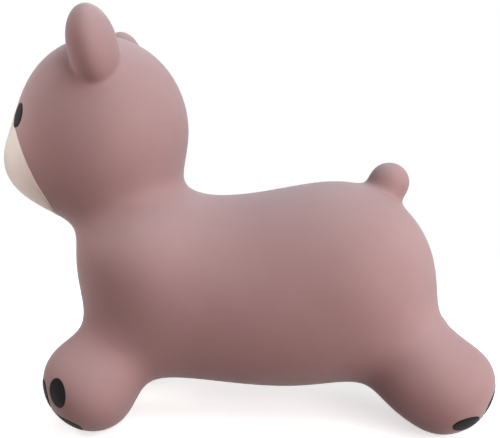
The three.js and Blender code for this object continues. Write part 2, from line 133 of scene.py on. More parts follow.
def number(tree, operation, *values):
    node = addNode(tree, "ShaderNodeMath", operation=operation)
    for socket, value in zip(node.inputs, values):
        feed(tree, socket, value)
    return node.outputs[0]


def vector(tree, operation, *values):
    node = addNode(tree, "ShaderNodeVectorMath", operation=operation)
    for socket, value in zip(node.inputs, values):
        feed(tree, socket, value)
    return node.outputs["Value" if operation == "LENGTH" else "Vector"]


def scaled(tree, way, amount):
    node = addNode(tree, "ShaderNodeVectorMath", operation="SCALE")
    feed(tree, node.inputs["Vector"], way)
    feed(tree, node.inputs["Scale"], amount)
    return node.outputs[0]


def components(tree, way):
    node = addNode(tree, "ShaderNodeSeparateXYZ")
    feed(tree, node.inputs[0], way)
    return node.outputs


def smoothUnion(tree, first, second, radius):
    return number(tree, "SMOOTH_MIN", first, second, radius)


# materials
roseVinyl = {
    "paleTone": (0.411, 0.241, 0.239, 1),
    "deepTone": (0.361, 0.205, 0.2025, 1),
    "mottleScale": 9.0,  # per metre
    "roughness": (0.5, 0.6),
    "specular": 0.25,
    "bloom": 0.12,  # powdery bloom on soft vinyl
    "bloomTint": (0.72, 0.87, 1.0, 1),
    "grainScale": 1400.0,
    "grainHeight": 0.00004,
    "swellScale": 14.0,
    "swellHeight": 0.0006,
}
creamVinylPaint = {
    "paleTone": (0.90, 0.81, 0.75, 1),
    "deepTone": (0.85, 0.75, 0.685, 1),
    "mottleScale": 14.0,
    "roughness": (0.5, 0.6),
    "specular": 0.3,
    "bloom": 0.8,
    "bloomTint": (1.0, 0.95, 0.90, 1),
    "grainScale": 1100.0,
    "grainHeight": 0.00003,
    "swellScale": 20.0,
    "swellHeight": 0.0003,
}
blackVinylPaint = {
    "paleTone": (0.013, 0.0105, 0.011, 1),
    "deepTone": (0.007, 0.006, 0.006, 1),
    "mottleScale": 60.0,
    "roughness": (0.6, 0.7),
    "specular": 0.12,
    "bloom": 0.0,
    "bloomTint": (1, 1, 1, 1),
    "grainScale": 1100.0,
    "grainHeight": 0.00003,
    "swellScale": 40.0,
    "swellHeight": 0.0002,
}
plugVinyl = {
    "paleTone": (0.80, 0.74, 0.66, 1),
    "deepTone": (0.72, 0.655, 0.575, 1),
    "mottleScale": 120.0,
    "roughness": (0.32, 0.42),
    "specular": 0.5,
    "bloom": 0.0,
    "bloomTint": (1, 1, 1, 1),
    "grainScale": 1800.0,
    "grainHeight": 0.00002,
    "swellScale": 90.0,
    "swellHeight": 0.0001,
}
mouldedFinish = {  # alike on the skin, the paints and the plug
    "bloomRoughness": 0.5,
    "mottleDetail": 5.0,
    "toneEdges": (0.3, 0.7),  # noise at which the deep tone ends and the pale one begins
    "polishFineness": 3.0,  # times the mottle's scale
    "polishDetail": 4.0,
    "swellDetail": 2.0,
    "grainDetail": 3.0,
}


def noiseOn(tree, coordinates, scale, detail):
    noise = addNode(tree, "ShaderNodeTexNoise")
    noise.inputs["Scale"].default_value = scale
    noise.inputs["Detail"].default_value = detail
    tree.links.new(coordinates, noise.inputs["Vector"])
    return noise.outputs["Fac"]


def mouldedMaterial(name, spec):
    material = bpy.data.materials.new(name)
    material.use_nodes = True
    tree = material.node_tree
    shader = tree.nodes["Principled BSDF"]
    shader.inputs["Specular IOR Level"].default_value = spec["specular"]
    shader.inputs["Sheen Weight"].default_value = spec["bloom"]
    shader.inputs["Sheen Roughness"].default_value = mouldedFinish["bloomRoughness"]
    shader.inputs["Sheen Tint"].default_value = spec["bloomTint"]
    coordinates = addNode(tree, "ShaderNodeTexCoord").outputs["Object"]

    mottle = noiseOn(tree, coordinates, spec["mottleScale"], mouldedFinish["mottleDetail"])
    deepEdge, paleEdge = mouldedFinish["toneEdges"]
    tones = addNode(tree, "ShaderNodeValToRGB")  # cloudy pigment
    tones.color_ramp.elements[0].position = deepEdge
    tones.color_ramp.elements[0].color = spec["deepTone"]
    tones.color_ramp.elements[1].position = paleEdge
    tones.color_ramp.elements[1].color = spec["paleTone"]
    tree.links.new(mottle, tones.inputs["Fac"])
    tree.links.new(tones.outputs["Color"], shader.inputs["Base Color"])

    rubScale = spec["mottleScale"] * mouldedFinish["polishFineness"]
    rubbing = noiseOn(tree, coordinates, rubScale, mouldedFinish["polishDetail"])
    polish = addNode(tree, "ShaderNodeMapRange")  # rubbed and dull places
    polish.inputs["To Min"].default_value = spec["roughness"][0]
    polish.inputs["To Max"].default_value = spec["roughness"][1]
    tree.links.new(rubbing, polish.inputs["Value"])
    tree.links.new(polish.outputs["Result"], shader.inputs["Roughness"])

    normal = None
    for relief in ("swell", "grain"):  # slow unevenness of the soft wall, then the fine grain of the mould
        heights = noiseOn(tree, coordinates, spec[f"{relief}Scale"], mouldedFinish[f"{relief}Detail"])
        bump = addNode(tree, "ShaderNodeBump")
        bump.inputs["Distance"].default_value = spec[f"{relief}Height"]
        tree.links.new(heights, bump.inputs["Height"])
        if normal is not None:
            tree.links.new(normal, bump.inputs["Normal"])
        normal = bump.outputs["Normal"]
    tree.links.new(normal, shader.inputs["Normal"])
    return material


roseMaterial = mouldedMaterial("roseVinyl", roseVinyl)
creamMaterial = mouldedMaterial("creamVinylPaint", creamVinylPaint)
blackMaterial = mouldedMaterial("blackVinylPaint", blackVinylPaint)
plugMaterial = mouldedMaterial("plugVinyl", plugVinyl)
print("materials made")


# lobes of the bear, in metres: full sizes before the blends swell them
trunk = {
    "bellyMiddle": (0.036, 0.0, 0.1365),
    "bellySize": (0.344, 0.228, 0.222),
    "chestMiddle": (-0.116, 0.0, 0.185),
    "chestSize": (0.137, 0.208, 0.120),
    "rumpMiddle": (0.124, 0.0, 0.1665),
    "rumpSize": (0.161, 0.220, 0.172),
    "blend": 0.116,
}
head = {
    "joint": "head_nod",
    "skullMiddle": (-0.160, 0.0, 0.321),
    "skullSize": (0.191, 0.208, 0.211),
    "muzzleMiddle": (-0.2045, 0.0, 0.284),
    "muzzleSize": (0.130, 0.144, 0.096),
    "muzzleBlend": 0.057,
    "blend": 0.064,
    "bend": (-0.0088, 0.045),  # from the flex point along the way out
    "partReach": 0.125,
}
ear = {
    "joint": "left_ear_flex",
    "outward": (3.8, 43.4),  # degrees back and outward from straight up
    "lobeRise": 0.006,  # from the flex point
    "size": (0.0502, 0.075, 0.086),
    "lean": 9.5,
    "splay": 14.7,
    "blend": 0.006,
    "bend": (-0.0117, 0.012),
    "partReach": 0.06,
}
tail = {
    "joint": "tail_flex",
    "lean": 25.0,
    "lobeRise": 0.009,
    "size": (0.0464, 0.0464, 0.0458),
    "blend": 0.0245,
    "bend": (-0.0053, 0.012),
    "partReach": 0.045,
}
frontLeg = {
    "joint": "front_left_leg_flex",
    "way": -1,  # towards the bear's front
    "footSize": (0.1004, 0.1004, 0.0808),
    "solePitch": 43.5,
    "soleYaw": 22.0,
    "toThigh": (0.077, 0.056, 0.082),  # back, in and up from the foot's middle
    "thighSize": (0.0985, 0.0985, 0.0985),
    "flexBack": 0.044,
    "flexPitch": 45.0,
    "flexYaw": 26.0,
    "ankleBlend": 0.122,
    "blend": 0.117,
    "bend": (-0.008, 0.030),
    "partReach": 0.085,
}
rearLeg = {
    "joint": "rear_left_leg_flex",
    "way": 1,
    "footSize": (0.0925, 0.0925, 0.0698),
    "solePitch": 37.0,
    "soleYaw": 24.0,
    "toThigh": (0.0326, 0.0065, 0.0175),
    "thighSize": (0.0937, 0.0937, 0.0937),
    "flexBack": 0.038,
    "flexPitch": 38.0,
    "flexYaw": 30.0,
    "ankleBlend": 0.062,
    "blend": 0.084,
    "bend": (-0.017, 0.022),
    "partReach": 0.085,
}
bearSkin = {
    "wall": 0.0025,
    "crotchBlend": 0.020,
    "contactBlend": 0.006,  # roundness of the rim of the flat under each foot
    "voxel": 0.0065,
    "refine": 1,
    "settleSteps": 2,
    "margin": 0.012,  # round the CAD box, for the voxels
    "partTolerance": 1e-7,
}


def heading(way, yaw, rise):  # on the bear's left side
    level = math.cos(math.radians(rise))
    return Vector((
        way * level * math.cos(math.radians(yaw)),
        -level * math.sin(math.radians(yaw)),
        math.sin(math.radians(rise)),
    ))


def frameAlong(outward, towards):
    along = (towards - outward * towards.dot(outward)).normalized()
    return Matrix((along.cross(outward), along, outward)).transposed()


def turnTo(axis):
    return frameAlong(axis, Vector((0, 1, 0))).to_euler()


def flexPoint(name):
    return Vector(joints[name]["pos_m"])


def earOutward():
    back, out = (math.radians(angle) for angle in ear["outward"])
    return Vector((math.sin(back), -math.cos(back) * math.sin(out), math.cos(back) * math.cos(out)))


def earAxis():
    lean, splay = math.radians(ear["lean"]), math.radians(ear["splay"])
    return Vector((-math.sin(lean) * math.cos(splay), -math.sin(splay), math.cos(lean) * math.cos(splay)))


def tailOutward():
    return Vector((math.sin(math.radians(tail["lean"])), 0.0, math.cos(math.radians(tail["lean"]))))


def footMiddle(leg):
    back, inward, up = leg["toThigh"]
    toThigh = Vector((-leg["way"] * back, inward, up))
    foot = flexPoint(leg["joint"]) - toThigh.normalized() * leg["flexBack"]
    return foot, foot + toThigh


# skin grown by Geometry Nodes as a smooth union of the lobes
def groupTree(name, inputs, output):
    tree = bpy.data.node_groups.new(name, "GeometryNodeTree")
    for label, kind in inputs:
        tree.interface.new_socket(label, in_out="INPUT", socket_type=kind)
    tree.interface.new_socket(output[0], in_out="OUTPUT", socket_type=output[1])
    return tree, addNode(tree, "NodeGroupInput").outputs, addNode(tree, "NodeGroupOutput").inputs


def finishTree(tree, geometry, material, result):
    realized = addNode(tree, "GeometryNodeRealizeInstances")
    feed(tree, realized.inputs[0], geometry)
    finish = addNode(tree, "GeometryNodeSetMaterial")
    feed(tree, finish.inputs["Geometry"], realized.outputs[0])
    feed(tree, finish.inputs["Material"], material)
    feed(tree, result, finish.outputs[0])


def lobeTree():  # distance from an ellipsoid, true near its surface
    inputs = [("Point", "NodeSocketVector"), ("Size", "NodeSocketVector")]
    tree, given, result = groupTree("lobeField", inputs, ("Distance", "NodeSocketFloat"))
    half = vector(tree, "MULTIPLY", given["Size"], (0.5, 0.5, 0.5))
    shrunk = vector(tree, "DIVIDE", given["Point"], half)
    reach = vector(tree, "LENGTH", shrunk)
    slope = vector(tree, "LENGTH", vector(tree, "DIVIDE", shrunk, half))
    rise = number(tree, "MULTIPLY", reach, number(tree, "SUBTRACT", reach, 1.0))
    feed(tree, result["Distance"], number(tree, "DIVIDE", rise, slope))
    return tree


def skinInputs():
    foot, thigh = footMiddle(frontLeg)
    heel, haunch = footMiddle(rearLeg)
    soles = [heading(leg["way"], leg["soleYaw"], -leg["solePitch"]) for leg in (frontLeg, rearLeg)]
    lobes = {
        "Belly": (trunk["bellyMiddle"], trunk["bellySize"]),
        "Chest": (trunk["chestMiddle"], trunk["chestSize"]),
        "Rump": (trunk["rumpMiddle"], trunk["rumpSize"]),
        "Skull": (head["skullMiddle"], head["skullSize"]),
        "Muzzle": (head["muzzleMiddle"], head["muzzleSize"]),
        "Ear": (flexPoint(ear["joint"]) + earOutward() * ear["lobeRise"], ear["size"]),
        "Tail": (flexPoint(tail["joint"]) + tailOutward() * tail["lobeRise"], tail["size"]),
        "Front Foot": (foot, frontLeg["footSize"]),
        "Front Thigh": (thigh, frontLeg["thighSize"]),
        "Rear Foot": (heel, rearLeg["footSize"]),
        "Rear Thigh": (haunch, rearLeg["thighSize"]),
    }
    turns = {
        "Ear": turnTo(earAxis()),
        "Front Foot": turnTo(soles[0]),
        "Rear Foot": turnTo(soles[1]),
    }
    blends = {
        "Trunk Blend": trunk["blend"],
        "Front Leg Blend": frontLeg["blend"],
        "Rear Leg Blend": rearLeg["blend"],
        "Front Ankle Blend": frontLeg["ankleBlend"],
        "Rear Ankle Blend": rearLeg["ankleBlend"],
        "Crotch Blend": bearSkin["crotchBlend"],
        "Muzzle Blend": head["muzzleBlend"],
        "Neck Blend": head["blend"],
        "Ear Blend": ear["blend"],
        "Tail Blend": tail["blend"],
        "Contact Blend": bearSkin["contactBlend"],
        "Voxel": bearSkin["voxel"],
    }
    return lobes, turns, blends


def skinTree(lobes, turns, blends):
    lobeGroup = lobeTree()
    inputs = [(f"{lobe} {part}", "NodeSocketVector") for lobe in lobes for part in ("Middle", "Size")]
    inputs += [(f"{lobe} Turn", "NodeSocketRotation") for lobe in turns]
    inputs += [("Low Corner", "NodeSocketVector"), ("High Corner", "NodeSocketVector")]
    inputs += [(label, "NodeSocketFloat") for label in blends]
    inputs += [("Refine", "NodeSocketInt"), ("Finish", "NodeSocketMaterial")]
    tree, given, result = groupTree("leapingBearSkin", inputs, ("Skin", "NodeSocketGeometry"))
    here = addNode(tree, "GeometryNodeInputPosition").outputs[0]
    mirrored = vector(tree, "MULTIPLY", here, (1.0, -1.0, 1.0))

    def lobe(label, point=here):
        point = vector(tree, "SUBTRACT", point, given[f"{label} Middle"])
        if f"{label} Turn" in given:
            back = addNode(tree, "FunctionNodeInvertRotation")
            feed(tree, back.inputs[0], given[f"{label} Turn"])
            turned = addNode(tree, "FunctionNodeRotateVector")
            feed(tree, turned.inputs["Vector"], point)
            feed(tree, turned.inputs["Rotation"], back.outputs[0])
            point = turned.outputs[0]
        node = addNode(tree, "GeometryNodeGroup", node_tree=lobeGroup)
        feed(tree, node.inputs["Point"], point)
        feed(tree, node.inputs["Size"], given[f"{label} Size"])
        return node.outputs[0]

    def leg(label, point):
        thigh = lobe(f"{label} Thigh", point)
        foot = lobe(f"{label} Foot", point)
        return smoothUnion(tree, thigh, foot, given[f"{label} Ankle Blend"])

    def pair(label):
        return smoothUnion(tree, leg(label, here), leg(label, mirrored), given["Crotch Blend"])

    body = smoothUnion(tree, lobe("Chest"), lobe("Belly"), given["Trunk Blend"])
    body = smoothUnion(tree, body, lobe("Rump"), given["Trunk Blend"])
    body = smoothUnion(tree, body, pair("Front"), given["Front Leg Blend"])
    body = smoothUnion(tree, body, pair("Rear"), given["Rear Leg Blend"])
    face = smoothUnion(tree, lobe("Skull"), lobe("Muzzle"), given["Muzzle Blend"])
    body = smoothUnion(tree, body, face, given["Neck Blend"])
    ears = number(tree, "MINIMUM", lobe("Ear"), lobe("Ear", mirrored))
    body = smoothUnion(tree, body, ears, given["Ear Blend"])
    body = smoothUnion(tree, body, lobe("Tail"), given["Tail Blend"])

    underFloor = number(tree, "MULTIPLY", components(tree, here)["Z"], -1.0)
    body = number(tree, "SMOOTH_MAX", body, underFloor, given["Contact Blend"])

    span = components(tree, vector(tree, "SUBTRACT", given["High Corner"], given["Low Corner"]))
    cube = addNode(tree, "GeometryNodeVolumeCube")
    level = 0.1  # Volume to Mesh keeps what is denser than this
    feed(tree, cube.inputs["Density"], number(tree, "SUBTRACT", level, body))
    feed(tree, cube.inputs["Min"], given["Low Corner"])
    feed(tree, cube.inputs["Max"], given["High Corner"])
    for axis in "XYZ":
        steps = number(tree, "DIVIDE", span[axis], given["Voxel"])
        feed(tree, cube.inputs[f"Resolution {axis}"], steps)
    mesh = addNode(tree, "GeometryNodeVolumeToMesh")
    feed(tree, mesh.inputs["Volume"], cube.outputs[0])
    feed(tree, mesh.inputs["Threshold"], level)
    finer = addNode(tree, "GeometryNodeSubdivisionSurface")
    feed(tree, finer.inputs["Mesh"], mesh.outputs[0])
    feed(tree, finer.inputs["Level"], given["Refine"])
    settled = finer.outputs[0]
    normal = addNode(tree, "GeometryNodeInputNormal").outputs[0]
    slide = scaled(tree, normal, number(tree, "MULTIPLY", body, -1.0))
    for step in range(bearSkin["settleSteps"]):  # each point slides along its normal to the true surface
        move = addNode(tree, "GeometryNodeSetPosition")
        feed(tree, move.inputs["Geometry"], settled)
        feed(tree, move.inputs["Offset"], slide)
        settled = move.outputs[0]
    smooth = addNode(tree, "GeometryNodeSetShadeSmooth")
    feed(tree, smooth.inputs["Geometry"], settled)
    finishTree(tree, smooth.outputs[0], given["Finish"], result[0])
    return tree


def setInputs(modifier, values):
    sockets = modifier.node_group.interface.items_tree
    identifiers = {socket.name: socket.identifier for socket in sockets if socket.in_out == "INPUT"}
    for label, value in values.items():
        modifier[identifiers[label]] = value


def plainMesh(thing, name):
    made = thing.evaluated_get(bpy.context.evaluated_depsgraph_get())
    mesh = bpy.data.meshes.new_from_object(made)
    mesh.name = name
    return mesh


def growSkin():
    lobes, turns, blends = skinInputs()
    grower = bpy.data.objects.new("skinGrower", bpy.data.meshes.new("skinGrower"))
    scene.collection.objects.link(grower)
    modifier = grower.modifiers.new("leapingBearSkin", "NODES")
    modifier.node_group = skinTree(lobes, turns, blends)
    margin = Vector((1, 1, 1)) * bearSkin["margin"]
    values = {f"{lobe} {part}": tuple(value) for lobe, parts in lobes.items()
              for part, value in zip(("Middle", "Size"), parts)}
    values.update({f"{lobe} Turn": tuple(turn) for lobe, turn in turns.items()})
    values.update(blends)
    values["Low Corner"] = tuple(cadLow - margin)
    values["High Corner"] = tuple(cadHigh + margin)
    values["Refine"] = bearSkin["refine"]
    values["Finish"] = roseMaterial
    setInputs(modifier, values)
    mesh = plainMesh(grower, "wholeSkin")
    bpy.data.objects.remove(grower)
    return mesh


wholeSkin = growSkin()
print("skin grown:", len(wholeSkin.vertices), "points,", len(wholeSkin.polygons), "faces")


# roots of the lobes: the skin is parted where each one starts to bend
sides = {"left": -1, "right": 1}


def toSide(side, way):  # from the bear's left side to either side
    return Vector((way.x, -side * way.y, way.z))


def lobeRoots():
    roots = []

    def addRoot(node, joint, outward, tip, spec):
        point = flexPoint(joint)
        first, last = (point + outward * reach for reach in spec["bend"])
        bodies = (joints[joint]["parent"], joints[joint]["child"])
        roots.append({
            "node": node,
            "outward": outward,
            "tip": tip,
            "bodies": bodies,
            "start": first,
            "end": last,
            "reach": spec["partReach"],
        })

    skull = Vector(head["skullMiddle"])
    forehead = skull - Vector((head["skullSize"][0] / 2, 0, 0))
    neckWay = (skull - Vector(trunk["chestMiddle"])).normalized()
    addRoot("head_skin", head["joint"], neckWay, forehead, head)
    tailTip = flexPoint(tail["joint"]) + tailOutward() * tail["size"][2]
    addRoot("tail", tail["joint"], tailOutward(), tailTip, tail)
    for word, side in sides.items():
        name = f"{word}_ear"
        earTip = flexPoint(f"{name}_flex") + toSide(side, earAxis()) * ear["size"][2] / 2
        addRoot(name, f"{name}_flex", toSide(side, earOutward()), earTip, ear)
        for end, leg in (("front", frontLeg), ("rear", rearLeg)):
            name = f"{end}_{word}_leg"
            foot = toSide(side, footMiddle(leg)[0])
            sole = toSide(side, heading(leg["way"], leg["soleYaw"], -leg["solePitch"]))
            outward = toSide(side, heading(leg["way"], leg["flexYaw"], -leg["flexPitch"]))
            addRoot(name, f"{name}_flex", outward, foot + sole * leg["footSize"][2] / 2, leg)
    return roots


ownNames = {"tail": "tailSkin", "muzzle": "muzzlePaint", "nose": "nosePaint", "mouth": "mouthPaint"}


def pieceName(node):  # never the CAD node's own name
    first, *rest = node.split("_")
    return ownNames.get(node, first + "".join(word.capitalize() for word in rest))


def place(name, mesh, material):
    if not mesh.materials:
        mesh.materials.append(material)
    thing = bpy.data.objects.new(name, mesh)
    scene.collection.objects.link(thing)
    return thing


def ringPoint(step, steps, width, depth):
    angle = 2 * math.pi * step / steps
    return Vector((width * math.cos(angle), depth * math.sin(angle), 0.0))


def partSkin(net, roots):
    seam = net.edges.layers.int.new("seam")
    for root in roots:
        near = [face for face in net.faces
                if (face.calc_center_median() - root["start"]).length < root["reach"]]
        around = {vert: None for face in near for vert in face.verts}
        along = {edge: None for face in near for edge in face.edges}
        cut = bmesh.ops.bisect_plane(
            net, geom=near + list(around) + list(along), dist=bearSkin["partTolerance"],
            plane_co=root["start"], plane_no=root["outward"],
        )
        for item in cut["geom_cut"]:
            if isinstance(item, bmesh.types.BMEdge):
                item[seam] = 1
    net.normal_update()
    taken = set()
    pieces = {}
    for root in roots:
        first = min(net.faces, key=lambda face: (face.calc_center_median() - root["tip"]).length)
        found = {first: None}  # a dictionary keeps its order, so each run gives the same mesh
        waiting = [first]
        while waiting:
            face = waiting.pop()
            for edge in face.edges:
                if edge[seam]:
                    continue
                for other in edge.link_faces:
                    if other not in found:
                        found[other] = None
                        waiting.append(other)
        pieces[root["node"]] = found
        taken.update(found)
    pieces["torso_skin"] = {face: None for face in net.faces if face not in taken}
    return pieces


def shellMesh(name, faces):  # outer wall, inner wall, and a rim where the skin is parted
    verts = list({vert: None for face in faces for vert in face.verts})
    index = {vert: spot for spot, vert in enumerate(verts)}
    count = len(verts)
    wall = bearSkin["wall"]
    points = [vert.co for vert in verts] + [vert.co - vert.normal * wall for vert in verts]
    bends = [vert.normal for vert in verts] + [-vert.normal for vert in verts]
    polygons = []
    normals = []
    for face in faces:
        ring = [index[vert] for vert in face.verts]
        inner = [spot + count for spot in reversed(ring)]
        polygons += [ring, inner]
        normals += [bends[spot] for spot in ring + inner]
    wallCount = len(polygons)
    rimNormals = [Vector((0, 0, 0))] * 4  # zero leaves a corner its face's own normal
    for face in faces:
        for loop in face.loops:
            if all(other is face or other not in faces for other in loop.edge.link_faces):
                a, b = index[loop.vert], index[loop.link_loop_next.vert]
                polygons.append([b, a, a + count, b + count])
                normals += rimNormals
    mesh = bpy.data.meshes.new(name)
    mesh.from_pydata(points, [], polygons)
    mesh.polygons.foreach_set("use_smooth", [step < wallCount for step in range(len(polygons))])
    mesh.normals_split_custom_set(normals)
    return mesh


# inflation valve under the belly, its profiles as radius and height over the skin in metres
valve = {
    "holeRadius": 0.010,
    "holeMargin": 0.002,  # skin that is laid anew round the hole
    "steps": 64,
    "sharpAngle": 40.0,
    "seat": [
        (0.00995, 0.0032), (0.0099, 0.0001), (0.0095, -0.0003), (0.0089, -0.0003), (0.0084, 0.0),
        (0.0083, 0.0004), (0.0083, 0.0025), (0.0043, 0.0025), (0.0038, 0.012), (0.0125, 0.012),
        (0.013, 0.0115), (0.013, 0.0034),
    ],
    "plug": [
        (0.0, 0.0006), (0.0052, 0.0006), (0.0059, 0.0002), (0.0072, 0.0), (0.0078, 0.0002),
        (0.008, 0.0007), (0.008, 0.0022), (0.004, 0.0022), (0.0035, 0.0134), (0.0031, 0.014), (0.0, 0.014),
    ],
}


def holeFor(net, point):
    radius = valve["holeRadius"]
    steps = valve["steps"]
    reach = radius + valve["holeMargin"]
    heights = BVHTree.FromBMesh(net)
    doomed = [face for face in net.faces if min((vert.co - point).length for vert in face.verts) < reach]
    bmesh.ops.delete(net, geom=doomed, context="FACES")
    rim = [edge for edge in net.edges if edge.is_boundary]
    under = Vector((point.x, point.y, 0.0))
    ring = []
    for step in range(steps):
        hit = heights.ray_cast(under + ringPoint(step, steps, radius, radius), Vector((0, 0, 1)))[0]
        ring.append(net.verts.new(hit))
    rim += [net.edges.new((ring[step - 1], ring[step])) for step in range(steps)]
    bmesh.ops.bridge_loops(net, edges=rim)
    bmesh.ops.recalc_face_normals(net, faces=net.faces)


def turnedMesh(name, profile, point, ringed):
    steps = valve["steps"]
    net = bmesh.new()
    rows = []
    for radius, height in profile:
        middle = point + Vector((0, 0, height))
        around = steps if radius > 0 else 1
        ring = [ringPoint(step, steps, radius, radius) for step in range(around)]
        rows.append([net.verts.new(middle + offset) for offset in ring])
    following = rows[1:] + rows[:1] if ringed else rows[1:]
    for low, high in zip(rows, following):
        for step in range(steps):
            after = (step + 1) % steps
            if len(low) == 1:
                net.faces.new((low[0], high[after], high[step]))
            elif len(high) == 1:
                net.faces.new((low[step], low[after], high[0]))
            else:
                net.faces.new((low[step], low[after], high[after], high[step]))
    bmesh.ops.recalc_face_normals(net, faces=net.faces)
    for face in net.faces:
        face.smooth = True
    mesh = bpy.data.meshes.new(name)
    net.to_mesh(mesh)
    net.free()
    mesh.set_sharp_from_angle(angle=math.radians(valve["sharpAngle"]))
    return mesh


roots = lobeRoots()
skinNet = bmesh.new()
skinNet.from_mesh(wholeSkin)
valvePoint = flexPoint("plug_pull")
holeFor(skinNet, valvePoint)
skinPieces = partSkin(skinNet, roots)

torso = place("torsoSkin", shellMesh("torsoSkin", skinPieces["torso_skin"]), roseMaterial)
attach(torso, "torso")
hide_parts("torso_skin")
for root in roots:
    name = pieceName(root["node"])
    piece = place(name, shellMesh(name, skinPieces[root["node"]]), roseMaterial)
    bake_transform(piece)
    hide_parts(root["node"])
    print("lobe parted:", name, len(piece.data.polygons), "faces")
skinNet.free()

seat = place("valveSeat", turnedMesh("valveSeat", valve["seat"], valvePoint, True), roseMaterial)
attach(seat, "torso")
plug = place("valvePlug", turnedMesh("valvePlug", valve["plug"], valvePoint, False), plugMaterial)
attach(plug, "valve")
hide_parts("valve_plug")
print("valve made")


# paint: flat stencils laid on the skin by Geometry Nodes
facePaint = {
    "muzzle": {"size": (0.162, 0.124), "height": 0.283, "mesh": (36, 144)},  # mesh: rings and steps
    "eye": {"size": (0.019, 0.027), "height": 0.335, "mesh": (8, 56), "side": 0.062, "tilt": 20.0},
    "nose": {"size": (0.036, 0.025), "height": 0.314, "mesh": (10, 64)},
    "mouth": {
        "width": 0.046,
        "sag": 0.012,
        "line": 0.0032,
        "height": 0.282,
        "steps": 48,
        "endShare": 0.05,  # squared share of the line's width that its ends keep
        "endBluntness": 8,
    },
}
padPaint = {
    "toeSize": (0.022, 0.030),
    "toeMesh": (8, 56),
    "mainSize": (0.054, 0.034),
    "mainMesh": (12, 72),
    "front": {  # yaw and rise in degrees, seen from the foot's middle
        "main": (46, -46),
        "outer": (66, 13),
        "middle": (31, 3),
        "inner": (-9, -2),
        "heel": (180, -78),  # the toes' long axes point here
    },
    "rear": {
        "main": (13, -6),
        "outer": (88, -26),
        "middle": (34, -52),
        "inner": (-30, -46),
        "heel": (10, -6),
    },
}
paintFilm = {
    "lift": 0.0002,
    "overlay": 0.0002,  # more lift, for paint over paint
    "thickness": 0.0004,
    "reach": 0.12,
    "merge": 0.000005,
}


def ovalStencil(name, size, fineness):
    rings, steps = fineness
    points = [(0.0, 0.0, 0.0)]
    for ring in range(1, rings + 1):
        width, depth = (length / 2 * ring / rings for length in size)
        points += [ringPoint(step, steps, width, depth) for step in range(steps)]
    faces = [(0, 1 + step, 1 + (step + 1) % steps) for step in range(steps)]
    for ring in range(rings - 1):
        near, far = 1 + ring * steps, 1 + (ring + 1) * steps
        for step in range(steps):
            after = (step + 1) % steps
            faces.append((near + step, far + step, far + after, near + after))
    mesh = bpy.data.meshes.new(name)
    mesh.from_pydata(points, [], faces)
    return mesh


def smileStencil(name, spec):
    steps = spec["steps"]
    radius = (spec["width"] ** 2 / 4 + spec["sag"] ** 2) / (2 * spec["sag"])
    spread = math.asin(spec["width"] / 2 / radius)
    points = []
    for step in range(steps + 1):
        share = 2 * step / steps - 1
        roundedEnd = math.sqrt(1 + spec["endShare"] - share ** spec["endBluntness"])
        half = spec["line"] / 2 * roundedEnd
        angle = share * spread
        for reach in (radius + half, radius - half):
            points.append((reach * math.sin(angle), radius - reach * math.cos(angle), 0.0))
    faces = [(2 * step, 2 * step + 2, 2 * step + 3, 2 * step + 1) for step in range(steps)]
    mesh = bpy.data.meshes.new(name)
    mesh.from_pydata(points, [], faces)
    return mesh


